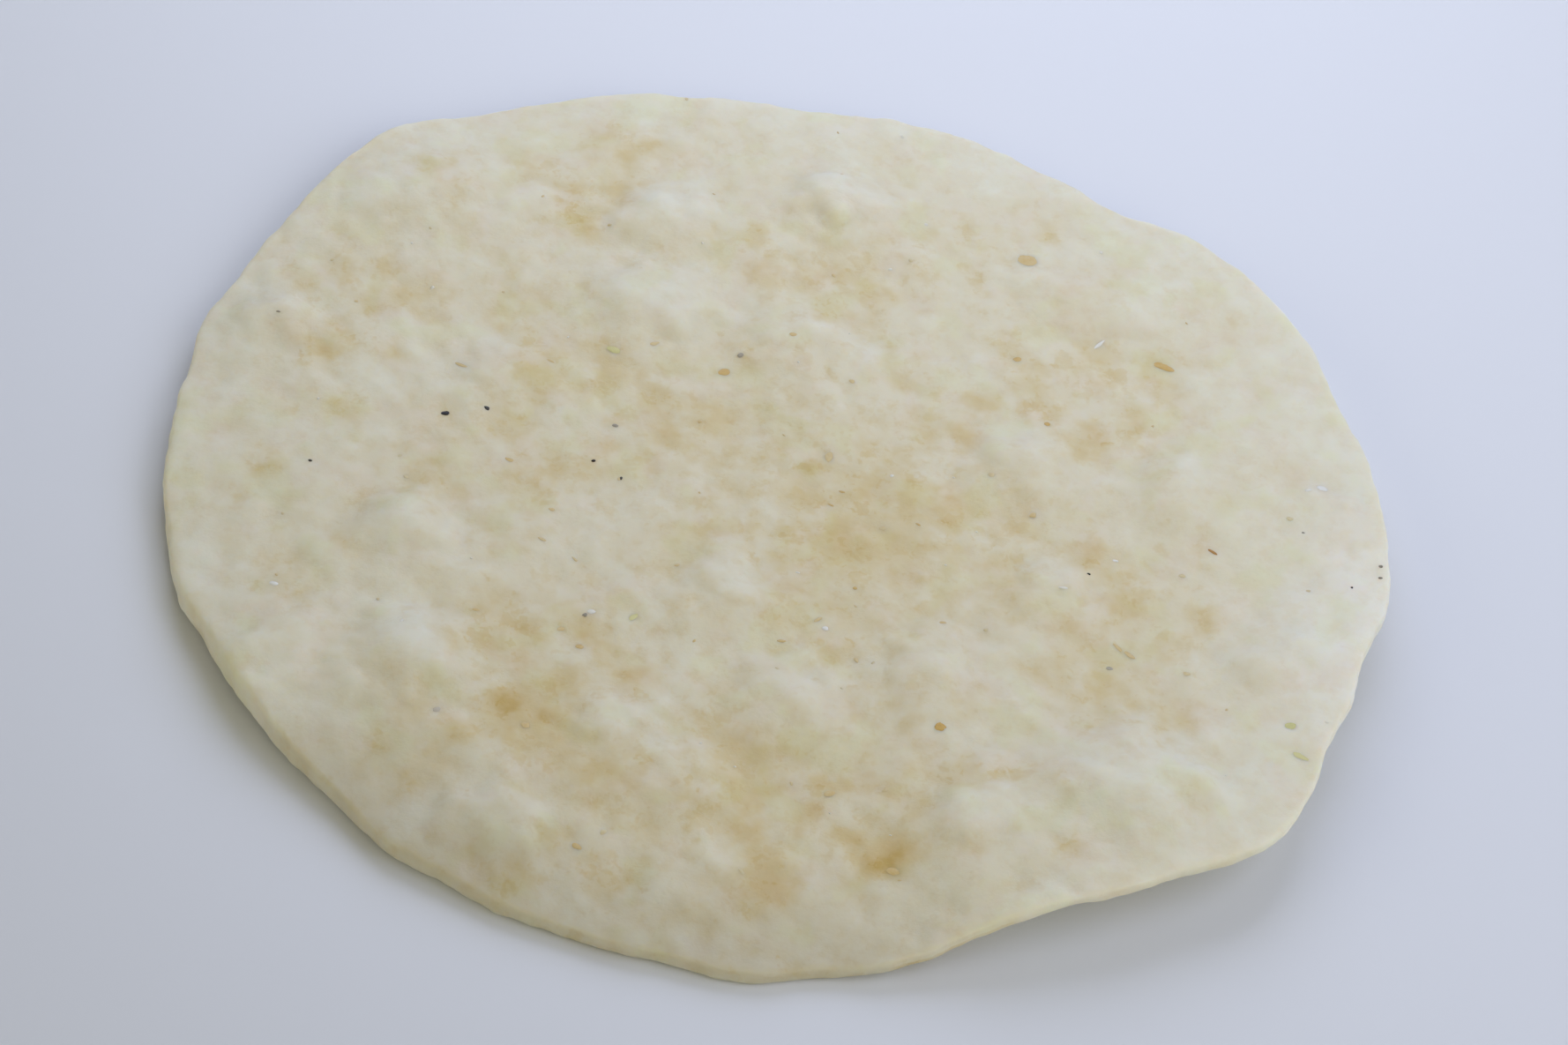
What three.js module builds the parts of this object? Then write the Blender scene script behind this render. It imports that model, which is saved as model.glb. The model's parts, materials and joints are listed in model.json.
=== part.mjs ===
// A round shrimp rice cracker: one thin sheet of rice dough, pressed flat and baked until it
// puffed into low blisters and its rim curled up. Millimetres, +Z up. The origin is on the table
// under the middle of the cracker, and -Y is the side nearest the viewer.

import * as THREE from "three";

// The sheet
const LENGTH = 86; // across X, rim to rim
const MIDDLE_THICKNESS = 2.8;
const RIM_THICKNESS = 1.6; // where the rim lies on the table
const CURL_THINNING = 0.2; // lost from that for each millimetre that the rim has curled up
const THICK_SIDE = { direction: 220, extra: 0.9, narrowness: 10 }; // a stretch of rim that puffed
const THINNING = 4; // power of the share of the way to the rim, so it thins late
const RIM_ROUND = 0.9; // how far in from the rim its edge starts to round over
const UNDER_CLEARANCE = 0.35; // the plain underside, above the table, before its blisters

// The rim: direction from the middle in degrees, distance from it, and how far it has curled up.
// Seen from above it is a circle with two worn corners behind, a dent between them close to the
// right one and a straight stretch in front on the right, where it curls most. In front it lies low.
const RIM = [
  [0, 43.1, 2.6],
  [20, 42.9, 2.1],
  [45, 43.3, 1.9],
  [61, 41.0, 1.3],
  [75, 41.9, 1.5],
  [92, 41.1, 1.1],
  [110, 42.5, 1.2],
  [124, 43.5, 1.3],
  [138, 45.4, 1.6],
  [150, 44.0, 1.2],
  [168, 43.5, 0.9],
  [190, 43.0, 0.4],
  [202, 42.7, 0.3],
  [213, 42.2, 0.3],
  [230, 41.3, 0.3],
  [243, 41.5, 0],
  [270, 41.2, -0.2],
  [281, 40.7, 0],
  [290, 40.4, 0.8],
  [297, 40.2, 2.2],
  [304, 40.6, 3.2],
  [326, 44.2, 3.7],
  [340, 42.3, 3.2],
  [352, 42.5, 2.8],
];
// Small bites and bumps along the rim: how many go round, and how deep each is
const RIM_CRINKLES = [
  [13, 0.08],
  [21, 0.12],
  [31, 0.11],
];
const CURL_START = 0.3; // share of the way to the rim where the curl begins

// Long waves across the whole sheet: crest to crest, direction in degrees, height
const BUCKLES = [
  [33, 20, 0.16],
  [24, 95, 0.13],
  [18, 150, 0.1],
];

// The blisters of the top that stand out: x, y, length, width, turn in degrees, rise
const TOP_BLISTERS = [
  [-23, -21.5, 12, 9, 10, 0.9],
  [-6.5, -27, 14, 10, -20, 1],
  [3, -20, 10, 8, 10, 0.7],
  [-12.5, 15.5, 12, 9, 0, 0.85],
  [1, 29.5, 11, 8, 10, 0.7],
  [-12, 25, 9, 7, 20, 0.55],
  [-1, 14.5, 10, 8, -20, 0.7],
  [17, 5.5, 10, 8, 15, 0.75],
  [-38, 9, 8, 7, 0, 0.55],
  [27, -23, 15, 11, -25, 1],
  [12, -16, 11, 8, -30, 0.75],
  [-26, -10.5, 12, 9, 10, 0.7],
  [-3, -11, 10, 8, 0, 0.65],
  [27, 5, 9, 7, 0, 0.65],
  [19, -6.5, 10, 7, 20, 0.7],
  [36, -10, 9, 8, 60, 0.65],
  [16, -29.5, 11, 8, -15, 0.75],
  [-21, 7, 10, 7, 0, 0.55],
  [-15, -34, 12, 7, -15, 0.7],
  [-1, -35.5, 11, 7, 0, 0.65],
  [-33, -19.5, 9, 7, -40, 0.65],
  [-30, 25, 10, 8, 35, 0.55],
  [20, 25, 12, 9, -20, 0.65],
];
// The smaller ones between them, and all of those underneath, are scattered
const SMALL_TOP = { count: 170, across: [3.6, 6.5], rise: [0.12, 0.38] };
const SMALL_UNDER = { count: 90, across: [4, 9], rise: [0.1, 0.4] };
// The cracker rests on a broad one in the middle and a ring of others round it
const FOOT_ACROSS = 20;
const FOOT_RISE = 0.9;
const RING_FEET = { count: 7, distance: 17, across: 11, rise: 0.8 };
// How far a blister's outline strays from an ellipse, over what distance and how slanted
const STRAY = 0.8;
const STRAY_LENGTH = 9;
const STRAY_SLANT = 0.35;
const DOME_POWER = 1.1; // close to 1, so that a blister's foot meets the sheet in a crease
const BLISTER_LOSS = 0.6; // share of a blister's rise that is lost right at the rim
const SCATTER_REACH = 0.49; // how far out they are scattered, as a share of LENGTH
const LEAST_WIDTH = 0.6; // the narrowest scattered one, as a share of its length

// The mesh: rings from the middle out to where the edge begins, then round the edge
const RINGS = 23;
const RING_SIDES = 6; // the innermost ring's corners; each ring has this many more
const EDGE_ANGLES = [30, 60, 90];
const EDGE_SQUARENESS = 0.5; // power of their sines and cosines; 1 would round the edge fully

const radians = THREE.MathUtils.degToRad;

// Random numbers from 0 to 1 that come out the same on every run
function seeded(seed) {
  let state = seed;
  return () => {
    state = (state * 1664525 + 1013904223) % 4294967296;
    return state / 4294967296;
  };
}

// The rim with its crinkles, at a share of the way round it; z is how far it has curled up
const rimCurve = new THREE.CatmullRomCurve3(
  RIM.map(([direction, distance, curl]) => {
    const a = radians(direction);
    return new THREE.Vector3(distance * Math.cos(a), distance * Math.sin(a), curl);
  }),
  true,
  "centripetal",
);

function widened(point, scale) {
  return new THREE.Vector3(point.x * scale, point.y * scale, point.z);
}

function drawnRim(share) {
  const point = rimCurve.getPointAt(share);
  let crinkle = 0;
  RIM_CRINKLES.forEach(([waves, depth], n) => {
    crinkle += depth * Math.sin(2 * Math.PI * waves * share + 2 * n);
  });
  return widened(point, 1 + crinkle / Math.hypot(point.x, point.y));
}

// The same rim, scaled to LENGTH and moved so that its box is centred
const rimBox = new THREE.Box3();
for (let i = 0; i < RING_SIDES * RINGS; i += 1) {
  rimBox.expandByPoint(drawnRim(i / (RING_SIDES * RINGS)));
}
const rimMiddle = rimBox.getCenter(new THREE.Vector3()).setZ(0);
const rimScale = LENGTH / (rimBox.max.x - rimBox.min.x);

function rim(share) {
  return widened(drawnRim(share).sub(rimMiddle), rimScale);
}

function buckle(x, y) {
  let z = 0;
  BUCKLES.forEach(([length, turn, height], n) => {
    const along = x * Math.cos(radians(turn)) + y * Math.sin(radians(turn));
    z += height * Math.sin((2 * Math.PI * along) / length + n);
  });
  return z;
}

function scatter({ count, across, rise }, seed) {
  const random = seeded(seed);
  const between = ([low, high]) => low + (high - low) * random();
  const blisters = [];
  for (let i = 0; i < count; i += 1) {
    const distance = SCATTER_REACH * LENGTH * Math.sqrt(random());
    const direction = 2 * Math.PI * random();
    const length = between(across);
    blisters.push([
      distance * Math.cos(direction),
      distance * Math.sin(direction),
      length,
      length * between([LEAST_WIDTH, 1]),
      180 * random(),
      between(rise),
    ]);
  }
  return blisters;
}

function feet() {
  const blisters = [[0, 0, FOOT_ACROSS, FOOT_ACROSS, 0, FOOT_RISE]];
  const { count, distance, across, rise } = RING_FEET;
  for (let i = 0; i < count; i += 1) {
    const direction = (2 * Math.PI * i) / count;
    const x = distance * Math.cos(direction);
    const y = distance * Math.sin(direction);
    blisters.push([x, y, across, across, 0, rise]);
  }
  return blisters;
}

// The highest of the domes over a point, so that neighbours meet in a crease
function domes(blisters, x, y) {
  const wave = (2 * Math.PI) / STRAY_LENGTH;
  const sx = x + STRAY * Math.sin(wave * (y + STRAY_SLANT * x));
  const sy = y + STRAY * Math.sin(wave * (x - STRAY_SLANT * y) + 1);
  let highest = 0;
  for (const [cx, cy, length, width, turn, rise] of blisters) {
    const c = Math.cos(radians(turn));
    const s = Math.sin(radians(turn));
    const u = ((sx - cx) * c + (sy - cy) * s) / (length / 2);
    const v = ((sy - cy) * c - (sx - cx) * s) / (width / 2);
    const inside = Math.max(0, 1 - u * u - v * v);
    highest = Math.max(highest, rise * Math.pow(inside, DOME_POWER));
  }
  return highest;
}

const smallTop = scatter(SMALL_TOP, 11);
const smallUnder = scatter(SMALL_UNDER, 29);
const underFeet = feet();

function rimThickness(rimPoint) {
  const { direction, extra, narrowness } = THICK_SIDE;
  const away = Math.atan2(rimPoint.y, rimPoint.x) - radians(direction);
  const puffed = extra * Math.pow(Math.max(0, Math.cos(away)), narrowness);
  return RIM_THICKNESS + puffed - CURL_THINNING * Math.max(0, rimPoint.z);
}

// The heights of both faces on the way from the middle, share 0, to a point of the rim, share 1
function faces(share, rimPoint) {
  const x = share * rimPoint.x;
  const y = share * rimPoint.y;
  const curled = Math.max(0, (share - CURL_START) / (1 - CURL_START));
  const sheet = UNDER_CLEARANCE + rimPoint.z * curled * curled + share * buckle(x, y);
  const thinned = Math.pow(share, THINNING);
  const thickness = THREE.MathUtils.lerp(MIDDLE_THICKNESS, rimThickness(rimPoint), thinned);
  const fade = 1 - BLISTER_LOSS * thinned * thinned;
  const risen = domes(TOP_BLISTERS, x, y) + domes(smallTop, x, y);
  const sunk = Math.max(domes(underFeet, x, y), domes(smallUnder, x, y));
  return {
    x,
    y,
    top: sheet + thickness + fade * risen,
    under: Math.max(0, sheet - fade * sunk),
  };
}

function crackerGeometry() {
  const shoulder = 1 - (2 * RIM_ROUND) / LENGTH;
  const levels = [];
  for (let k = 1; k <= RINGS; k += 1) {
    levels.push({ share: (shoulder * k) / RINGS, sides: RING_SIDES * k, depth: 1 });
  }
  for (const angle of EDGE_ANGLES) {
    const out = Math.pow(Math.sin(radians(angle)), EDGE_SQUARENESS);
    const depth = Math.pow(Math.cos(radians(angle)), EDGE_SQUARENESS);
    levels.push({ share: shoulder + (1 - shoulder) * out, sides: RING_SIDES * RINGS, depth });
  }

  const positions = [];
  const addVertex = (x, y, z) => {
    positions.push(x, y, z);
    return positions.length / 3 - 1;
  };
  const middle = faces(0, rim(0));
  const topRings = [[addVertex(0, 0, middle.top)]];
  const underRings = [[addVertex(0, 0, middle.under)]];
  levels.forEach(({ share, sides, depth }, n) => {
    const top = [];
    const under = [];
    const outermost = n === levels.length - 1;
    for (let i = 0; i < sides; i += 1) {
      const face = faces(share, rim(i / sides));
      const centre = (face.top + face.under) / 2;
      const half = (depth * (face.top - face.under)) / 2;
      top.push(addVertex(face.x, face.y, outermost ? centre : centre + half));
      under.push(outermost ? top[i] : addVertex(face.x, face.y, centre - half));
    }
    topRings.push(top);
    underRings.push(under);
  });

  // Triangles between two rings, stepping each time along the ring that is behind
  const triangles = [];
  const fill = (inner, outer, turnedOver) => {
    const innerSteps = inner.length > 1 ? inner.length : 0;
    let i = 0;
    let o = 0;
    while (i < innerSteps || o < outer.length) {
      const a = inner[i % inner.length];
      const b = outer[o % outer.length];
      const outerIsBehind = (o + 0.5) / outer.length <= (i + 0.5) / inner.length;
      let c;
      if (i >= innerSteps || (o < outer.length && outerIsBehind)) {
        o += 1;
        c = outer[o % outer.length];
      } else {
        i += 1;
        c = inner[i % inner.length];
      }
      triangles.push(...(turnedOver ? [a, c, b] : [a, b, c]));
    }
  };
  for (let n = 1; n < topRings.length; n += 1) {
    fill(topRings[n - 1], topRings[n], false);
    fill(underRings[n - 1], underRings[n], true);
  }

  const geometry = new THREE.BufferGeometry();
  geometry.setAttribute("position", new THREE.Float32BufferAttribute(positions, 3));
  geometry.setIndex(triangles);
  geometry.computeVertexNormals();
  return geometry;
}

const baked = new THREE.MeshStandardMaterial({ color: 0xdcd2b6, roughness: 0.7, metalness: 0 });
const cracker = new THREE.Mesh(crackerGeometry(), baked);
cracker.name = "cracker";

const part = new THREE.Group();
part.name = "shrimp_rice_cracker";
part.add(cracker);

export default part;
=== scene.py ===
import json
import math

import bpy
import numpy as np
from mathutils import Matrix, Vector, noise
from mathutils.bvhtree import BVHTree

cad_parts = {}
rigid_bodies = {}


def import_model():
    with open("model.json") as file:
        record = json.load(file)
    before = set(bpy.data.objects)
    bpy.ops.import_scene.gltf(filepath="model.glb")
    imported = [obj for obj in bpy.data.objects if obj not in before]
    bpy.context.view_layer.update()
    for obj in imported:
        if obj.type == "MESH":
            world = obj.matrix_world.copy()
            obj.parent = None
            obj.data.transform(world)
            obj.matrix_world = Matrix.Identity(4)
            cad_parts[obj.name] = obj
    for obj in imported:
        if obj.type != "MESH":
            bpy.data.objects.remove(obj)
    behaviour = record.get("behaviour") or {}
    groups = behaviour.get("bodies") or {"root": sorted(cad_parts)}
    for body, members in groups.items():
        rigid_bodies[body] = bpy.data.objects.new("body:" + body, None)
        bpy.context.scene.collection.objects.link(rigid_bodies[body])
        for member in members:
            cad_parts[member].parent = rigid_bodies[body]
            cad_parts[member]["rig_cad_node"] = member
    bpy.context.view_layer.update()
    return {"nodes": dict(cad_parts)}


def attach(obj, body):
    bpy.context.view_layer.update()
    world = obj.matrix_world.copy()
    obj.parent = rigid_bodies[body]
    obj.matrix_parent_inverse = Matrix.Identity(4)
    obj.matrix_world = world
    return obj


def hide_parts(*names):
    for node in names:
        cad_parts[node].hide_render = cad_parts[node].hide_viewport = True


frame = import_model()

# The baked sheet: one thin round of rice dough, pressed and baked until it puffed up.
# Its blisters stayed white, the hollows between them toasted to a pale tan, and the whole
# of it is a fine dry crumb that lets a little light in.
MM = 0.001
SAME_POINT = 0.001 * MM

bpy.ops.object.select_all(action="DESELECT")
solid = frame["nodes"]["cracker"]
solid.select_set(True)
bpy.context.view_layer.objects.active = solid
bpy.ops.object.duplicate()
sheet = bpy.context.active_object
sheet.name = "baked_sheet"
del sheet["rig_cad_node"]

bpy.ops.object.mode_set(mode="EDIT")
bpy.ops.mesh.select_all(action="SELECT")
bpy.ops.mesh.remove_doubles(threshold=SAME_POINT)
bpy.ops.mesh.customdata_custom_splitnormals_clear()
bpy.ops.object.mode_set(mode="OBJECT")

bpy.ops.object.modifier_add(type="SUBSURF")
rounding = sheet.modifiers[-1]
rounding.levels = 2
rounding.render_levels = 2
bpy.ops.object.modifier_apply(modifier=rounding.name)


def sheet_points():
    points = np.empty(3 * len(sheet.data.vertices))
    sheet.data.vertices.foreach_get("co", points)
    return points.reshape(-1, 3)


# Three sizes of roughness in the crust: across and height in millimetres
CRUST = (
    ("bubbles", 3.0, 0.34),
    ("pimples", 1.5, 0.13),
    ("grain", 0.8, 0.06),
)
smooth_points = sheet_points()
for name, across, height in CRUST:
    texture = bpy.data.textures.new(name, type="CLOUDS")
    texture.noise_scale = across * MM
    texture.noise_depth = 1
    bpy.ops.object.modifier_add(type="DISPLACE")
    relief = sheet.modifiers[-1]
    relief.texture = texture
    relief.texture_coords = "LOCAL"
    relief.mid_level = 0.5
    relief.strength = height * MM
    bpy.ops.object.modifier_apply(modifier=relief.name)
bpy.ops.object.shade_smooth()

# Where the top stayed white: x, y, across in millimetres, and how white
WHITE_PATCHES = (
    (-11.6, 17.4, 6.0, 0.9),
    (-11.5, 25.4, 6.0, 0.95),
    (-21.4, 25.2, 3.0, 0.5),
    (-37.6, 9.2, 4.2, 0.8),
    (-31.5, 24.0, 6.0, 0.35),
    (0.8, 30.4, 4.4, 0.95),
    (-6.5, 32.5, 4.0, 0.35),
    (-1.5, 16.4, 4.4, 0.65),
    (-14.5, 4.5, 3.0, 0.5),
    (-21.0, 8.2, 3.6, 0.4),
    (-7.0, 8.8, 2.0, 0.4),
    (27.6, 7.0, 4.2, 0.65),
    (16.6, 7.5, 5.2, 0.6),
    (8.5, 14.0, 4.0, 0.3),
    (2.0, 9.8, 9.0, 0.5),
    (30.0, 12.0, 4.0, 0.4),
    (10.0, 2.0, 3.0, 0.35),
    (22.4, -8.0, 3.0, 0.35),
    (37.0, 4.6, 6.5, 0.5),
    (32.0, 14.0, 8.0, 0.3),
    (1.1, 3.9, 2.6, 0.4),
    (-24.8, -9.0, 4.6, 0.7),
    (-22.5, -20.0, 6.0, 0.85),
    (-27.0, -24.3, 2.0, 0.8),
    (-31.8, -22.6, 5.0, 0.55),
    (-19.8, -13.6, 3.4, 0.6),
    (-35.0, -10.0, 8.0, 0.25),
    (-10.0, -8.5, 6.0, 0.3),
    (-9.2, -23.5, 2.6, 0.45),
    (-6.8, -22.6, 3.0, 0.4),
    (-3.0, -25.6, 3.0, 0.3),
    (-15.4, -33.0, 5.0, 0.75),
    (-9.6, -31.6, 2.4, 0.5),
    (-2.2, -10.2, 2.2, 0.8),
    (-3.4, -7.6, 4.0, 0.5),
    (-3.4, -36.2, 3.6, 0.5),
    (-2.0, -33.0, 2.8, 0.4),
    (6.8, -22.8, 2.4, 0.3),
    (2.4, -18.0, 5.0, 0.75),
    (1.7, -20.8, 2.0, 0.7),
    (12.0, -13.4, 4.8, 0.7),
    (17.6, -15.0, 2.0, 0.6),
    (19.0, -17.6, 2.0, 0.6),
    (16.5, -26.5, 4.0, 0.75),
    (18.4, -22.5, 3.6, 0.55),
    (19.8, -4.2, 3.2, 0.65),
    (25.0, -24.0, 12.0, 0.9),
    (26.0, -18.6, 3.4, 0.7),
    (30.2, -20.2, 2.4, 0.7),
    (32.2, -14.6, 3.0, 0.4),
    (39.5, -8.0, 10.0, 0.9),
    (32.0, 5.0, 10.0, 0.5),
    (26.2, -30.8, 3.6, 0.5),
    (33.0, -26.8, 3.0, 0.55),
    (36.0, 16.0, 18.0, 0.6),
    (38.0, -2.0, 16.0, 0.6),
    (34.0, -18.0, 16.0, 0.47),
    (24.0, 30.0, 18.0, 0.45),
    (8.0, 34.0, 16.0, 0.35),
    (-12.0, 34.0, 18.0, 0.25),
    (-36.0, 12.0, 18.0, 0.5),
    (-37.0, 0.0, 14.0, 0.4),
    (-36.0, -12.0, 16.0, 0.42),
    (10.0, 22.0, 18.0, 0.35),
)
# Where it toasted: x, y, across in millimetres, and how brown
TOASTED_PATCHES = (
    (-18.3, 24.3, 3.6, 0.55),
    (-17.2, 23.0, 2.6, 0.6),
    (-16.5, 32.4, 5.0, 0.5),
    (-13.8, 33.2, 4.0, 0.4),
    (-10.0, 36.6, 4.0, 0.3),
    (-23.4, 33.0, 4.0, 0.22),
    (-16.0, 28.5, 3.4, 0.55),
    (-21.8, 29.0, 4.0, 0.35),
    (-19.0, 28.0, 4.0, 0.4),
    (-28.0, 26.0, 5.0, 0.42),
    (-25.9, 21.4, 2.6, 0.2),
    (-33.5, 14.0, 7.0, 0.32),
    (-31.0, 15.3, 2.2, 0.45),
    (-28.3, 13.8, 5.0, 0.4),
    (-12.0, 18.6, 3.0, 0.3),
    (-21.0, 12.6, 5.0, 0.3),
    (-36.4, 13.4, 4.2, 0.45),
    (-37.4, 15.2, 2.0, 0.35),
    (-34.2, 6.5, 2.4, 0.7),
    (-32.6, 8.6, 3.4, 0.45),
    (-29.7, 8.0, 2.4, 0.35),
    (-38.0, 4.4, 2.2, 0.35),
    (-31.0, 1.4, 2.4, 0.4),
    (-18.6, 8.5, 4.6, 0.3),
    (-19.4, 3.0, 3.0, 0.25),
    (-13.5, 9.0, 6.0, 0.3),
    (-9.4, 6.6, 3.4, 0.7),
    (-9.0, 3.8, 3.6, 0.5),
    (-6.2, 5.6, 3.4, 0.55),
    (-6.0, 10.0, 3.0, 0.3),
    (-4.9, 25.3, 2.0, 0.55),
    (-3.2, 18.5, 1.6, 0.45),
    (1.5, 22.0, 11.0, 0.27),
    (-3.5, 22.0, 5.0, 0.3),
    (4.8, 21.4, 3.6, 0.55),
    (1.2, 19.0, 3.6, 0.55),
    (6.2, 24.2, 4.0, 0.35),
    (9.4, 29.2, 4.0, 0.2),
    (16.5, 32.0, 3.2, 0.2),
    (15.6, 17.2, 4.2, 0.45),
    (20.5, 18.0, 5.0, 0.36),
    (25.5, 18.0, 4.0, 0.36),
    (25.0, 14.5, 5.0, 0.3),
    (29.0, 24.0, 5.5, 0.12),
    (13.0, 12.0, 3.0, 0.6),
    (16.3, 14.8, 2.8, 0.55),
    (17.6, 11.8, 3.4, 0.5),
    (23.8, 12.6, 3.6, 0.5),
    (21.2, 9.8, 4.0, 0.45),
    (12.1, 8.3, 2.4, 0.5),
    (35.5, 9.5, 4.0, 0.12),
    (2.0, 0.0, 28.0, 0.23),
    (6.0, -1.0, 12.0, 0.55),
    (0.0, 0.0, 5.0, 0.45),
    (-1.8, -4.2, 4.0, 0.42),
    (-3.8, -9.2, 2.6, 0.4),
    (3.0, 4.0, 2.2, 0.5),
    (5.6, 2.0, 4.6, 0.65),
    (11.2, 2.3, 1.8, 0.6),
    (11.4, -0.8, 2.0, 0.55),
    (11.3, -3.1, 2.2, 0.4),
    (3.8, -4.0, 3.0, 0.45),
    (7.2, 3.8, 1.6, 0.4),
    (8.6, -6.5, 1.8, 0.55),
    (2.2, -8.3, 2.6, 0.35),
    (5.0, -13.0, 4.0, 0.35),
    (-16.2, -1.8, 4.6, 0.35),
    (-24.6, -6.0, 3.4, 0.42),
    (-13.0, 1.6, 2.6, 0.4),
    (-36.0, -4.4, 2.2, 0.45),
    (-28.8, -7.2, 1.4, 0.4),
    (-29.4, -11.5, 2.0, 0.4),
    (-32.5, -16.4, 5.5, 0.33),
    (-17.5, -17.2, 8.0, 0.42),
    (-7.6, -19.8, 3.4, 0.7),
    (-10.5, -17.0, 4.0, 0.45),
    (-11.5, -20.8, 3.4, 0.45),
    (-14.3, -24.0, 5.2, 0.9),
    (-18.5, -26.2, 2.6, 0.28),
    (-23.2, -27.4, 2.4, 0.2),
    (-21.4, -31.0, 1.8, 0.4),
    (-13.0, -29.0, 7.0, 0.25),
    (-9.0, -28.3, 3.4, 0.45),
    (-5.4, -27.0, 1.6, 0.4),
    (-10.2, -33.4, 2.4, 0.6),
    (-7.4, -36.2, 4.0, 0.42),
    (-13.3, -37.0, 2.8, 0.4),
    (-0.6, -23.6, 5.0, 0.5),
    (-4.0, -24.0, 30.0, 0.16),
    (2.6, -23.4, 3.0, 0.25),
    (1.2, -27.6, 3.0, 0.38),
    (5.5, -28.4, 2.2, 0.75),
    (6.1, -26.4, 1.9, 0.8),
    (8.4, -30.2, 2.2, 0.55),
    (10.6, -30.9, 2.7, 1.12),
    (2.0, -30.0, 2.2, 0.5),
    (12.2, -26.8, 2.4, 0.5),
    (11.2, -23.8, 1.6, 0.45),
    (15.4, -23.6, 4.2, 0.58),
    (3.0, -33.4, 3.6, 0.65),
    (2.2, -36.0, 2.6, 0.4),
    (25.2, -5.8, 3.2, 0.55),
    (30.2, -5.9, 2.4, 0.45),
    (22.4, -2.6, 4.0, 0.5),
    (25.5, -8.5, 9.0, 0.25),
    (28.5, -10.5, 3.0, 0.3),
    (20.5, -12.8, 3.6, 0.5),
    (24.8, -14.6, 6.5, 0.42),
    (22.5, -16.2, 5.0, 0.4),
    (24.5, -16.2, 4.4, 0.52),
    (28.8, -15.2, 2.4, 0.35),
    (17.0, -8.9, 1.6, 0.4),
    (33.5, -2.3, 1.5, 0.35),
    (30.8, -23.0, 1.6, 0.35),
    (21.6, -23.4, 1.6, 0.15),
    (22.8, -29.0, 2.0, 0.3),
    (16.2, -30.0, 1.5, 0.3),
)


def spread(seed, count, reach):
    """Places scattered over a round by a seeded draw, in millimetres, and the draw for what follows."""
    draw = np.random.default_rng(seed)
    directions = draw.uniform(0, math.tau, count)
    distances = reach * np.sqrt(draw.uniform(0, 1, count))
    return draw, distances * np.cos(directions), distances * np.sin(directions)


PATCH_REACH = 40
NARROWEST = 0.3
FAINTEST = 0.5


def scattered_patches(seed, count, widest, strongest):
    """Rows for patches by a seeded draw: place, width and strength."""
    draw, across_x, across_y = spread(seed, count, PATCH_REACH)
    widths = draw.uniform(NARROWEST, 1, count) * widest
    strengths = draw.uniform(FAINTEST, 1, count) * strongest
    return np.column_stack((across_x, across_y, widths, strengths))


def patches(rows, places):
    """How much of a patch each place has; a patch is at half its strength at its edge."""
    amount = np.zeros(len(places))
    for x, y, across, strength in rows:
        away = np.hypot(places[:, 0] - x, places[:, 1] - y) / (across / 2)
        amount = np.maximum(amount, strength * 0.5 ** (away * away))
    return amount


def paint(name, amounts):
    """Keeps one amount for each point of the sheet, for its finish to read."""
    layer = sheet.data.attributes.new(name, "FLOAT", "POINT")
    layer.data.foreach_set("value", amounts.astype(np.float32))


# The patches' outlines stray from round, in millimetres
STRAY_LENGTH = 2.6
STRAY = 1.1
STRAY_SEED = 7
noise.seed_set(STRAY_SEED)
points = sheet_points()
rough_points = points.copy()
normals = np.empty(3 * len(points))
sheet.data.vertex_normals.foreach_get("vector", normals)
normals = normals.reshape(-1, 3)
faces_up = normals[:, 2] > 0
stray = np.array([noise.noise_vector(Vector(p) / STRAY_LENGTH) for p in points / MM])
strayed = points / MM + STRAY * stray

# The white patches puffed up a little more than the rest, the widest ones apart.
# Underneath, the sheet stays pressed flat where it rests.
PUFF_RISE = 0.62
PUFF_STRAY = 1.6
PUFF_SPREAD = 0.75
FULL_PUFF = 4.5
WIDEST_PUFF = 13


def domes(rows, places):
    """How high each place stands, as a share of the highest puff; small puffs stay low."""
    height = np.zeros(len(places))
    for x, y, across, strength in rows:
        away = np.hypot(places[:, 0] - x, places[:, 1] - y) / (PUFF_SPREAD * across)
        top = strength * min(1, across / FULL_PUFF)
        height = np.maximum(height, top * np.clip(1 - away * away, 0, 1))
    return height


puffs = [row for row in WHITE_PATCHES if row[2] < WIDEST_PUFF]
puffed = PUFF_RISE * MM * domes(puffs, points / MM + PUFF_STRAY * stray)
points[:, 2] += np.where(faces_up, puffed, 0)

# The margin all round, in millimetres from the middle
MARGIN_START = 33
MARGIN_WIDTH = 8
out = np.hypot(strayed[:, 0], strayed[:, 1])
margin = np.clip((out - MARGIN_START) / MARGIN_WIDTH, 0, 1)


def share_toward(direction, start, full):
    """How well each place lies toward a direction, from 0 to 1, by the cosine of the angle between."""
    along = strayed[:, 0] * math.cos(direction) + strayed[:, 1] * math.sin(direction)
    return np.clip((along / np.maximum(out, 1) - start) / (full - start), 0, 1)


# In front the margin is pressed down, so that its top slopes to the rim
FRONT = math.radians(257)
FRONT_START = 0.78
FRONT_FULL = 0.90
PRESSED = 0.25
in_front = share_toward(FRONT, FRONT_START, FRONT_FULL)
points[:, 2] *= 1 - PRESSED * margin * in_front
points[:, 2] = np.maximum(points[:, 2], 0)
sheet.data.vertices.foreach_set("co", points.ravel())
sheet.data.update()

# The margin stayed white too. In front it is painted less white and greyer: painted shade on the front
# margin, which slopes away from the light
MARGIN_WHITE = 0.75
FRONT_SHADE_LOSS = 0.5
white_rows_under = scattered_patches(seed=5, count=40, widest=7.0, strongest=0.9)
white_under = patches(white_rows_under, strayed)
whiteness = np.where(faces_up, patches(WHITE_PATCHES, strayed), white_under)
paint("white", np.maximum(whiteness, (MARGIN_WHITE - FRONT_SHADE_LOSS * in_front) * margin))
# How much painted shade the front margin gets
paint("thin", margin * in_front)
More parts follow.
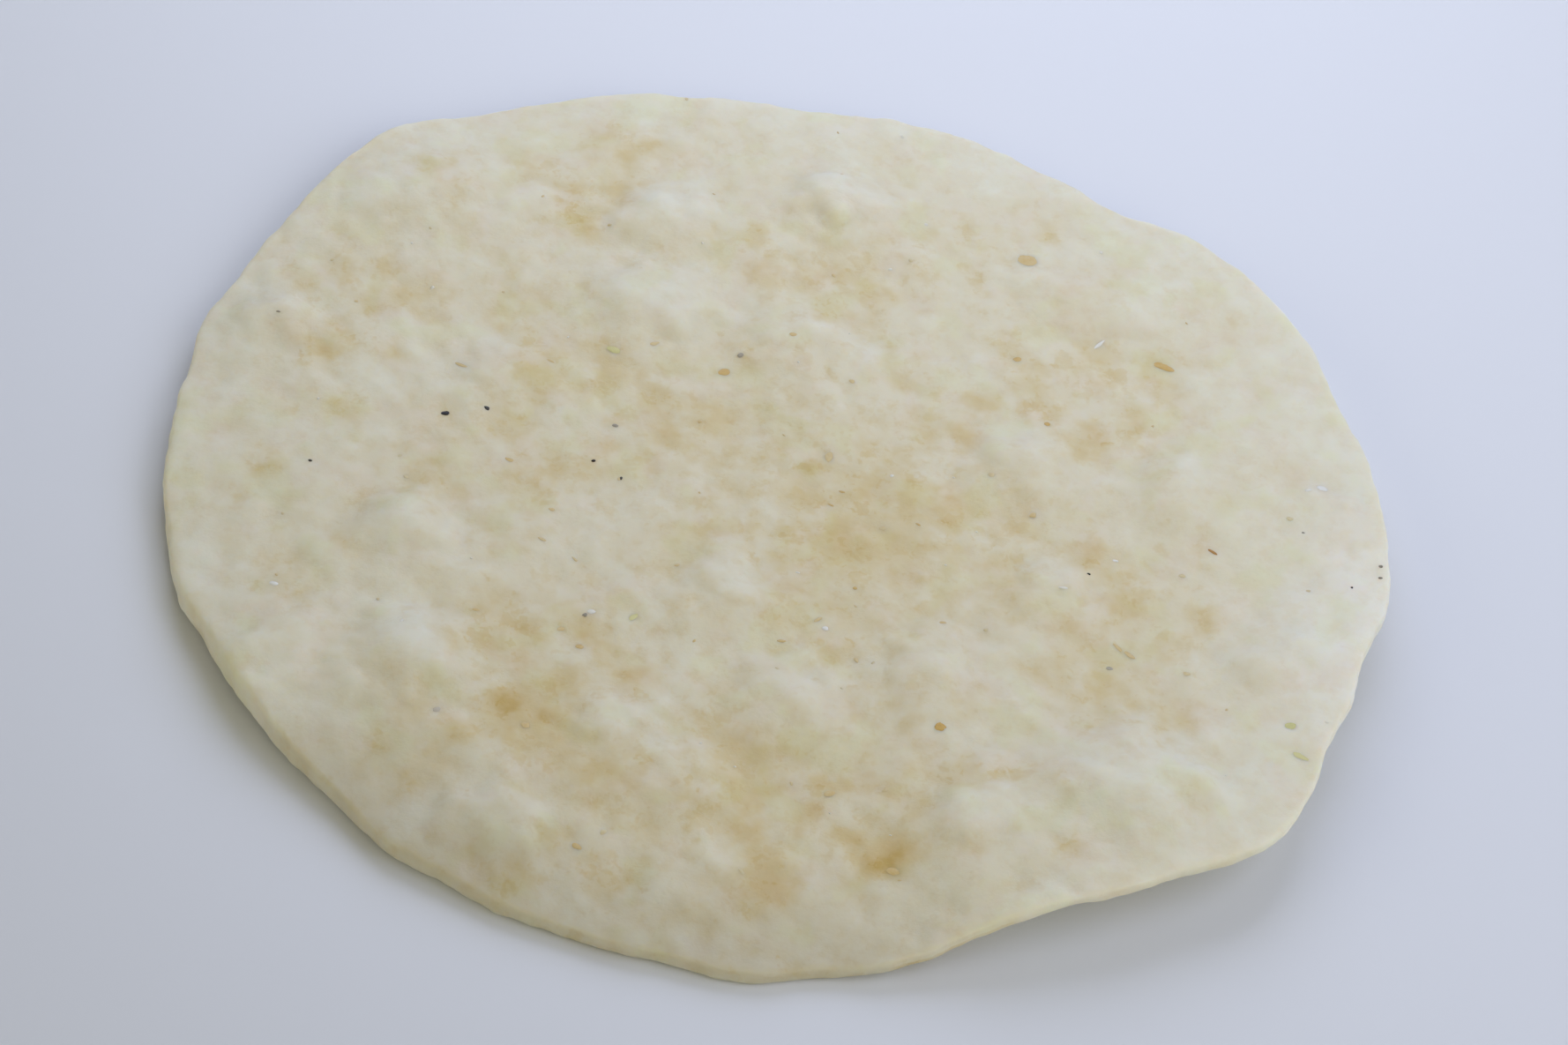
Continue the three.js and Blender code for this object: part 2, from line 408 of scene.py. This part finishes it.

# The rim's wall is painted a little browner, partly as toasting and partly as painted shade, and the
# underside is toasted in patches of its own
WALL_TURN = 0.6
WALL_TOAST_AND_SHADE = 0.12
wall = np.clip(WALL_TURN - normals[:, 2], 0, 1)
toasted_rows_under = scattered_patches(seed=8, count=80, widest=6.0, strongest=0.7)
toasted_under = patches(toasted_rows_under, strayed)
toast = np.where(faces_up, patches(TOASTED_PATCHES, strayed), toasted_under)
# The toasted amount also carries the wall's painted shade
paint("toasted", toast + WALL_TOAST_AND_SHADE * wall)

# On the right the rim is painted paler and bluer: painted light from the window on that side
RIGHT = math.radians(-8)
RIGHT_START = 0.96
RIGHT_FULL = 0.99
paint("pale", margin * share_toward(RIGHT, RIGHT_START, RIGHT_FULL))

# The fine bubbles stayed paler than the hollows between them
HIGH_BUBBLE = 0.16
raised = np.sum((rough_points - smooth_points) * normals, axis=1) / MM
paint("raised", np.clip(raised / HIGH_BUBBLE, -1, 1))


class Finish:
    """One output of a material's nodes. Arithmetic on it adds Math nodes to the material."""

    def __init__(self, tree, output=None):
        self.tree = tree
        self.output = output

    def node(self, kind, settings, inputs, output=0):
        made = self.tree.nodes.new(kind)
        for name, value in settings.items():
            if name == "stops":
                self.set_stops(made.color_ramp.elements, value)
            else:
                setattr(made, name, value)
        for key, value in inputs.items():
            if isinstance(value, Finish):
                self.tree.links.new(value.output, made.inputs[key])
            else:
                made.inputs[key].default_value = value
        return Finish(self.tree, made.outputs[output])

    def set_stops(self, elements, stops):
        while len(elements) < len(stops):
            elements.new(1)
        for element, (position, colour) in zip(elements, stops):
            element.position = position
            element.color = (*colour, 1)

    def feed(self, shader, socket):
        self.tree.links.new(self.output, shader.inputs[socket])

    def math(self, operation, first, second):
        return self.node("ShaderNodeMath", {"operation": operation}, {0: first, 1: second})

    def __add__(self, other):
        return self.math("ADD", self, other)

    def __radd__(self, other):
        return self.math("ADD", other, self)

    def __sub__(self, other):
        return self.math("SUBTRACT", self, other)

    def __rsub__(self, other):
        return self.math("SUBTRACT", other, self)

    def __mul__(self, other):
        return self.math("MULTIPLY", self, other)

    def __rmul__(self, other):
        return self.math("MULTIPLY", other, self)

    def smooth_step(self, low, high):
        values = {"Value": self, "From Min": low, "From Max": high}
        return self.node("ShaderNodeMapRange", {"interpolation_type": "SMOOTHSTEP"}, values)

    def ramp(self, stops):
        return self.node("ShaderNodeValToRGB", {"stops": stops}, {"Fac": self}, "Color")

    def attribute(self, name):
        return self.node("ShaderNodeAttribute", {"attribute_name": name}, {}, "Fac")

    def mottle(self, place, across, detail=2.0, roughness=0.55):
        """Soft noise from 0 to 1 with spots of a size in millimetres."""
        values = {"Vector": place, "Scale": 1 / (across * MM), "Detail": detail, "Roughness": roughness}
        return self.node("ShaderNodeTexNoise", {}, values)

    def cells(self, place, across, output):
        """Cells of a size in millimetres: the distance to a cell's middle, or a colour of its own."""
        return self.node("ShaderNodeTexVoronoi", {}, {"Vector": place, "Scale": 1 / (across * MM)}, output)

    def spots(self, place, across, largest, edge=0.14):
        """A small spot in each cell of a size in millimetres, as wide at most as a share of the cell."""
        share = largest * self.cells(place, across, "Color")
        return (share - self.cells(place, across, "Distance")).smooth_step(0, edge)

    def shifted(self, place, across, reach):
        """The same coordinates, shifted unevenly so that what is drawn with them isn't regular."""
        noise_values = {"Vector": place, "Scale": 1 / (across * MM), "Detail": 2.0}
        shift = self.node("ShaderNodeTexNoise", {}, noise_values, "Color")
        values = {0: shift, 1: (reach * MM, reach * MM, reach * MM), 2: place}
        return self.node("ShaderNodeVectorMath", {"operation": "MULTIPLY_ADD"}, values)

    def bumps(self, strength, depth):
        """Normals for a surface that rises and falls as this does, over a depth in millimetres."""
        values = {"Strength": strength, "Distance": depth * MM, "Height": self}
        return self.node("ShaderNodeBump", {}, values, "Normal")

    def tinted(self, colour, tint, amount):
        """A colour multiplied by a tint, by an amount from 0 to 1."""
        settings = {"data_type": "RGBA", "blend_type": "MULTIPLY"}
        return self.node("ShaderNodeMix", settings, {0: amount, 6: colour, 7: (*tint, 1)}, 2)


def new_material(name):
    """A new material, its Principled shader, the start of its nodes, and its coordinates."""
    material = bpy.data.materials.new(name)
    material.use_nodes = True
    shader = material.node_tree.nodes["Principled BSDF"]
    start = Finish(material.node_tree)
    place = start.node("ShaderNodeTexCoord", {}, {}, "Object")
    return material, shader, start, place


dough, shader, start, place = new_material("baked_rice_dough")
white = start.attribute("white")
toasted = start.attribute("toasted")
broad = start.mottle(place, 9)
blotches = start.mottle(place, 2.6).smooth_step(0.4, 0.68)
small_blotches = start.mottle(place, 1.1).smooth_step(0.46, 0.66)
pale_spots = start.mottle(place, 1.7).smooth_step(0.5, 0.72)
uneven = start.shifted(place, 0.8, 3.0)
spots = start.spots(uneven, 2.4, 0.55)
fine_spots = start.spots(uneven, 1.2, 0.55)
# The tone goes from white at 0 to brown at 1, with each pattern's share in it
PLAIN_TONE = 0.22
browned = 0.54 + 0.28 * blotches + 0.18 * spots + 0.11 * fine_spots
tone = PLAIN_TONE + toasted * browned - 0.25 * white
tone = tone + 0.36 * (broad - 0.5) - 0.12 * start.attribute("raised")
tone = tone + 0.08 * blotches + 0.08 * small_blotches - 0.09 * pale_spots + 0.08 * spots + 0.06 * fine_spots
DOUGH_TONES = (
    (0.0, (0.80, 0.765, 0.595)),
    (0.3, (0.76, 0.688, 0.485)),
    (0.55, (0.712, 0.598, 0.34)),
    (0.75, (0.68, 0.54, 0.27)),
    (1.0, (0.61, 0.435, 0.145)),
)
PINKISH = (1.0, 0.98, 0.99)
YELLOWISH = (0.985, 1.0, 0.93)
FRONT_SHADE_GREY = (0.83, 0.83, 0.84)
PAINTED_WINDOW_LIGHT = (1.05, 1.06, 1.13)
colour = start.tinted(tone.ramp(DOUGH_TONES), PINKISH, start.mottle(place, 3.4).smooth_step(0.5, 0.65))
colour = start.tinted(colour, YELLOWISH, start.mottle(place, 4.1).smooth_step(0.52, 0.66))
# Painted shade: the front margin is tinted grey
colour = start.tinted(colour, FRONT_SHADE_GREY, start.attribute("thin"))
# Painted light: the right rim is tinted paler and bluer
colour = start.tinted(colour, PAINTED_WINDOW_LIGHT, start.attribute("pale"))
colour.feed(shader, "Base Color")
rough = 0.5 + 0.25 * start.mottle(place, 1.2)
rough.feed(shader, "Roughness")
crumb = start.mottle(place, 0.5, detail=3.0)
crumb.bumps(strength=0.5, depth=0.06).feed(shader, "Normal")
shader.inputs["Specular IOR Level"].default_value = 0.35
shader.inputs["Subsurface Weight"].default_value = 1.0
shader.inputs["Subsurface Radius"].default_value = (1.0, 0.85, 0.65)
shader.inputs["Subsurface Scale"].default_value = 0.8 * MM

sheet.data.materials.clear()
sheet.data.materials.append(dough)
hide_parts("cracker")
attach(sheet, "root")

# The shrimp eyes: black beads about half a millimetre across, ground in with the shrimp and
# baked flush into the dough. Some lie just under the surface and look grey.
bpy.ops.object.select_all(action="DESELECT")
bpy.ops.mesh.primitive_ico_sphere_add(subdivisions=2, radius=0.5)
ball = bpy.context.active_object
ball_points = np.array([point.co for point in ball.data.vertices])
ball_faces = np.array([face.vertices for face in ball.data.polygons])
bpy.ops.object.delete()
# Pressed to a lens, so that a bit's edge lies flush
ball_points[:, 2] *= 2 * np.abs(ball_points[:, 2])

crust = BVHTree.FromObject(sheet, bpy.context.evaluated_depsgraph_get())
# How far out the bits lie, in millimetres, and how smooth, lumpy and slim they are
BIT_REACH = 41.5
EDGE_ANGLE = 40
HIGH_ABOVE = 20
LUMPS = 1.6
SIDE_SHIFT = 7
SLIMMEST = 0.5
ROUNDEST = 0.9


def crust_height(x, y, side):
    """Height of the crust over or under a place, in millimetres, or None past the rim."""
    hit = crust.ray_cast(Vector((x, y, side * HIGH_ABOVE)) * MM, Vector((0, 0, -side)))[0]
    return None if hit is None else hit.z / MM


def one_bit(row, side, thickness, proud, unevenness):
    """The points of one flat uneven bit that follows the crust and stands proud of it by a little."""
    x, y, length, width, turn, tone = row
    shift = Vector((x, y, SIDE_SHIFT * side))
    lumps = [noise.noise(Vector(point) * LUMPS + shift) for point in ball_points]
    shape = ball_points * (length, width, thickness)
    shape[:, :2] *= (1 + unevenness * np.array(lumps))[:, None]
    along = math.radians(turn)
    across_x = x + shape[:, 0] * math.cos(along) - shape[:, 1] * math.sin(along)
    across_y = y + shape[:, 0] * math.sin(along) + shape[:, 1] * math.cos(along)
    middle = crust_height(x, y, side)
    levels = [crust_height(u, v, side) for u, v in zip(across_x, across_y)]
    ground = np.array([middle if level is None else level for level in levels])
    heights = np.maximum(ground + shape[:, 2] - side * (thickness / 2 - proud), 0)
    return np.column_stack((across_x, across_y, heights))


def bits_in_crust(name, top_rows, under_rows, thickness, proud, unevenness=0.5):
    """One piece of many small bits, with each bit's tone kept on its points."""
    rows = [(row, 1) for row in top_rows] + [(row, -1) for row in under_rows]
    rows = [(row, side) for row, side in rows if crust_height(row[0], row[1], side) is not None]
    all_points = [one_bit(row, side, thickness, proud, unevenness) for row, side in rows]
    all_faces = [ball_faces + number * len(ball_points) for number in range(len(rows))]
    mesh = bpy.data.meshes.new(name)
    mesh.from_pydata((np.concatenate(all_points) * MM).tolist(), [], np.concatenate(all_faces).tolist())
    tones = np.repeat([row[5] for row, side in rows], len(ball_points))
    mesh.attributes.new("tone", "FLOAT", "POINT").data.foreach_set("value", tones.astype(np.float32))
    piece = bpy.data.objects.new(name, mesh)
    bpy.context.collection.objects.link(piece)
    bpy.ops.object.select_all(action="DESELECT")
    piece.select_set(True)
    bpy.context.view_layer.objects.active = piece
    bpy.ops.object.shade_smooth_by_angle(angle=math.radians(EDGE_ANGLE))
    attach(piece, "root")
    return piece


def scattered_bits(seed, count, shortest, longest, least_tone=0):
    """Rows for small bits by a seeded draw: place, length, width, turn and tone."""
    draw, across_x, across_y = spread(seed, count, BIT_REACH)
    lengths = shortest + (longest - shortest) * draw.uniform(0, 1, count) ** 2
    widths = lengths * draw.uniform(SLIMMEST, ROUNDEST, count)
    turns = draw.uniform(0, 180, count)
    tones = draw.uniform(least_tone, 1, count)
    return np.column_stack((across_x, across_y, lengths, widths, turns, tones))


def bit_material(name, tones, roughness):
    """A finish that takes its colour from each bit's tone, a little uneven within the bit."""
    material, shader, start, place = new_material(name)
    tone = start.attribute("tone") + 0.5 * (start.mottle(place, 0.35) - 0.5)
    tone.ramp(tones).feed(shader, "Base Color")
    (roughness + 0.3 * (start.mottle(place, 0.2) - 0.5)).feed(shader, "Roughness")
    start.mottle(place, 0.15).bumps(strength=0.4, depth=0.03).feed(shader, "Normal")
    shader.inputs["Specular IOR Level"].default_value = 0.25
    return material


# Each bit's x, y, length, width in millimetres, turn in degrees, and tone
EYES = (
    (-24.3, 2.3, 0.72, 0.46, 25, 0.0),
    (-21.5, 3.3, 0.48, 0.38, -30, 0.25),
    (-12.4, 3.9, 0.46, 0.38, 0, 0.85),
    (-13.4, 0.0, 0.34, 0.26, 10, 0.05),
    (-11.3, -1.1, 0.36, 0.28, 80, 0.25),
    (-4.6, 12.7, 0.5, 0.4, 20, 0.85),
    (-32.7, -4.2, 0.3, 0.24, 0, 0.35),
    (24.0, -11.8, 0.52, 0.38, -10, 0.92),
    (-20.3, -25.1, 0.55, 0.45, 40, 1.05),
    (-37.5, 9.0, 0.36, 0.18, 0, 0.9),
    (-11.9, -14.5, 0.42, 0.32, 30, 0.75),
    (21.9, -3.4, 0.26, 0.22, 0, 0.2),
    (40.2, -1.3, 0.22, 0.2, 0, 0.3),
    (36.6, 3.4, 0.26, 0.2, 0, 0.85),
    (42.2, 1.3, 0.3, 0.26, 0, 0.7),
    (42.2, 0.2, 0.3, 0.26, 0, 0.7),
)
EYE_TONES = (
    (0.0, (0.012, 0.010, 0.006)),
    (0.5, (0.10, 0.09, 0.065)),
    (0.8, (0.36, 0.32, 0.24)),
    (1.0, (0.54, 0.48, 0.36)),
)
eyes_under = scattered_bits(seed=21, count=16, shortest=0.3, longest=0.7)
eyes = bits_in_crust("shrimp_eyes", EYES, eyes_under, thickness=0.12, proud=0.05)
eyes.data.materials.append(bit_material("shrimp_eye", EYE_TONES, roughness=0.4))

# The bits of shell: thin chips and threads of shrimp shell and leg, orange to red brown, that
# baked into the dough flush with its surface. The smallest are scattered all over.
SHELL_BITS = (
    (25.8, 18.7, 1.6, 0.65, -15, 0.4),
    (15.0, 27.5, 1.7, 1.1, -40, 0.65),
    (15.2, 17.0, 0.75, 0.5, 10, 0.45),
    (17.9, 10.8, 0.5, 0.42, 60, 0.35),
    (30.4, 0.6, 0.7, 0.3, -30, 0.0),
    (-1.1, 15.0, 0.6, 0.45, 20, 0.6),
    (-5.5, 11.0, 0.95, 0.65, 15, 0.4),
    (-6.6, 5.6, 0.32, 0.26, 0, 0.62),
    (-10.8, 12.4, 0.8, 0.38, 40, 0.83),
    (2.8, 3.9, 0.56, 0.98, 5, 0.8),
    (4.1, 1.0, 0.52, 0.22, -5, 0.5),
    (3.5, -0.4, 0.52, 0.22, -20, 0.53),
    (7.3, -1.9, 0.56, 0.34, 20, 0.83),
    (9.7, -1.1, 0.44, 0.19, -25, 0.5),
    (-19.2, -1.3, 0.72, 0.38, -15, 0.56),
    (13.0, -19.9, 0.95, 0.75, 30, 0.3),
    (12.3, -9.9, 0.55, 0.3, 20, 0.6),
    (6.0, -7.9, 0.34, 0.27, 0, 0.56),
    (1.6, -13.8, 0.7, 0.25, 5, 0.6),
    (6.8, -14.4, 0.6, 0.3, -60, 0.75),
    (3.8, -11.3, 0.7, 0.3, 50, 0.8),
    (25.3, -10.2, 0.96, 0.38, -40, 0.68),
    (24.4, -9.7, 1.0, 0.3, -40, 0.71),
    (-15.6, -5.3, 0.48, 0.3, 10, 0.74),
    (-15.8, -8.3, 0.72, 0.26, -15, 0.8),
    (-13.3, -9.4, 0.64, 0.22, -40, 0.83),
    (-6.3, -8.5, 0.48, 0.3, 30, 0.74),
    (-24.0, 7.2, 0.96, 0.3, -25, 0.74),
    (-17.8, 9.0, 0.64, 0.3, -35, 0.71),
    (-19.2, -15.6, 0.64, 0.3, 10, 0.68),
    (-13.3, -16.0, 0.56, 0.38, 50, 0.68),
    (-11.8, -17.3, 0.56, 0.45, 0, 0.53),
    (28.4, -2.0, 0.56, 0.38, 0, 0.92),
    (37.2, -2.1, 0.34, 0.27, 0, 0.92),
    (-14.3, -25.1, 0.72, 0.52, 10, 0.65),
    (11.2, -31.9, 0.96, 0.6, -20, 0.62),
    (6.3, -26.6, 0.88, 0.52, 30, 0.68),
    (-9.5, -33.9, 0.8, 0.45, -35, 0.68),
)
SHELL_TONES = (
    (0.0, (0.46, 0.25, 0.08)),
    (0.3, (0.62, 0.40, 0.11)),
    (0.6, (0.67, 0.50, 0.22)),
    (0.85, (0.69, 0.56, 0.30)),
    (1.0, (0.69, 0.60, 0.36)),
)
small_shell = scattered_bits(seed=33, count=40, shortest=0.25, longest=0.6, least_tone=0.7)
shell_top = np.vstack((SHELL_BITS, small_shell))
shell_under = scattered_bits(seed=34, count=90, shortest=0.25, longest=1.4, least_tone=0.2)
shell = bits_in_crust("shell_bits", shell_top, shell_under, thickness=0.08, proud=0.035)
shell.data.materials.append(bit_material("shrimp_shell", SHELL_TONES, roughness=0.5))

# The green flecks: a few yellow-green scraps of seaweed, about a millimetre long. They were
# kneaded into the same dough and lie flat in its surface.
GREEN_FLECKS = (
    (36.4, -15.2, 0.9, 0.7, 10, 0.85),
    (37.2, -17.8, 1.2, 0.6, -30, 1.1),
    (-13.6, 11.2, 1.1, 0.6, -20, 1.0),
    (-8.6, -13.9, 0.8, 0.45, 60, 1.2),
)
GREEN_TONES = (
    (0.0, (0.22, 0.26, 0.06)),
    (0.5, (0.50, 0.50, 0.18)),
    (1.0, (0.68, 0.63, 0.29)),
)
green_under = scattered_bits(seed=41, count=6, shortest=0.5, longest=1.2)
green = bits_in_crust("green_flecks", GREEN_FLECKS, green_under, thickness=0.08, proud=0.035)
green.data.materials.append(bit_material("green_fleck", GREEN_TONES, roughness=0.55))

# The pale grains: flakes and corns of rice that stayed white when the dough was baked. They
# stand out a little from it as hard bright points.
PALE_GRAINS = (
    (37.8, 8.4, 0.9, 0.6, 0, 0.1),
    (36.8, 7.8, 0.5, 0.35, 20, 0.2),
    (20.2, -5.3, 0.8, 0.22, 5, 0.3),
    (-33.0, -16.0, 0.6, 0.4, 0, 0.1),
    (21.0, 20.0, 1.4, 0.3, 50, 0.3),
    (23.7, -1.5, 0.4, 0.3, 0, 0.0),
    (4.4, -12.0, 0.45, 0.35, 0, 0.0),
    (-11.5, -14.1, 0.7, 0.45, 10, 0.4),
    (7.4, 3.2, 0.35, 0.3, 0, 0.0),
)
PALE_TONES = (
    (0.0, (0.83, 0.81, 0.72)),
    (0.5, (0.79, 0.76, 0.645)),
    (1.0, (0.77, 0.72, 0.58)),
)
small_grains = scattered_bits(seed=51, count=24, shortest=0.2, longest=0.45, least_tone=0.5)
grains_top = np.vstack((PALE_GRAINS, small_grains))
grains_under = scattered_bits(seed=52, count=80, shortest=0.2, longest=0.8, least_tone=0.2)
grains = bits_in_crust("pale_grains", grains_top, grains_under, thickness=0.12, proud=0.05)
grains.data.materials.append(bit_material("pale_grain", PALE_TONES, roughness=0.4))

# The floor: a plain pale surface, a little cool and with a soft sheen. It is wide enough to
# fill the picture, and the cracker lies on it.
FLOOR_WIDTH = 3.0
FLOOR_COLOUR = (0.76, 0.77, 0.78, 1)
bpy.ops.object.select_all(action="DESELECT")
bpy.ops.mesh.primitive_plane_add(size=FLOOR_WIDTH)
floor = bpy.context.active_object
floor.name = "floor"
floor_finish, shader = new_material("pale_floor")[:2]
shader.inputs["Base Color"].default_value = FLOOR_COLOUR
shader.inputs["Roughness"].default_value = 0.4
shader.inputs["Specular IOR Level"].default_value = 0.3
floor.data.materials.append(floor_finish)

# Soft light: broad fills in front and on the left, and two near windows, one behind and one on
# the right. Direction and height in degrees, distance and width in metres, power in watts, colour.
LIGHTS = (
    ("fill_front", 300, 34, 2.0, 1.6, 9.2, (1.0, 0.965, 0.70)),
    ("fill_left", 200, 22, 2.0, 1.6, 8.2, (1.0, 0.97, 0.80)),
    ("window_behind", 93, 42, 0.20, 0.20, 0.265, (0.70, 0.765, 1.0)),
    ("window_right", 348, 40, 0.24, 0.25, 0.295, (0.71, 0.77, 1.0)),
)
for name, direction, height, distance, width, power, tint in LIGHTS:
    round_about = math.radians(direction)
    above = math.radians(height)
    level = Vector((math.cos(round_about), math.sin(round_about), 0))
    toward = math.cos(above) * level + Vector((0, 0, math.sin(above)))
    bpy.ops.object.light_add(type="AREA", location=distance * toward)
    lamp = bpy.context.active_object
    lamp.name = name
    lamp.data.shape = "DISK"
    lamp.data.size = width
    lamp.data.energy = power
    lamp.data.color = tint
    lamp.rotation_euler = (-toward).to_track_quat("-Z", "Y").to_euler()
world = bpy.data.worlds.new("room")
bpy.context.scene.world = world
world.use_nodes = True
background = world.node_tree.nodes["Background"]
background.inputs["Color"].default_value = (1.0, 1.0, 1.0, 1)
background.inputs["Strength"].default_value = 0.11

# The camera looks down on the cracker from in front, turned a little about its own line of
# sight. Its lens is in millimetres.
LOOK_AT = Vector((0.45, -1.7, 2.0)) * MM
LOOK_DOWN = math.radians(46.3)
ROLL = math.radians(9.3)
DISTANCE = 335 * MM
LENS = 110
forward = Vector((0, math.cos(LOOK_DOWN), -math.sin(LOOK_DOWN)))
level_right = Vector((1, 0, 0))
level_up = Vector((0, math.sin(LOOK_DOWN), math.cos(LOOK_DOWN)))
right = math.cos(ROLL) * level_right + math.sin(ROLL) * level_up
up = math.cos(ROLL) * level_up - math.sin(ROLL) * level_right
bpy.ops.object.camera_add()
camera = bpy.context.active_object
camera.data.lens = LENS
camera.data.sensor_width = 36
camera.data.clip_start = 0.01
axes = Matrix((right, up, -forward)).transposed().to_4x4()
camera.matrix_world = Matrix.Translation(LOOK_AT - DISTANCE * forward) @ axes
bpy.context.scene.camera = camera
bpy.context.scene.view_settings.view_transform = "Standard"
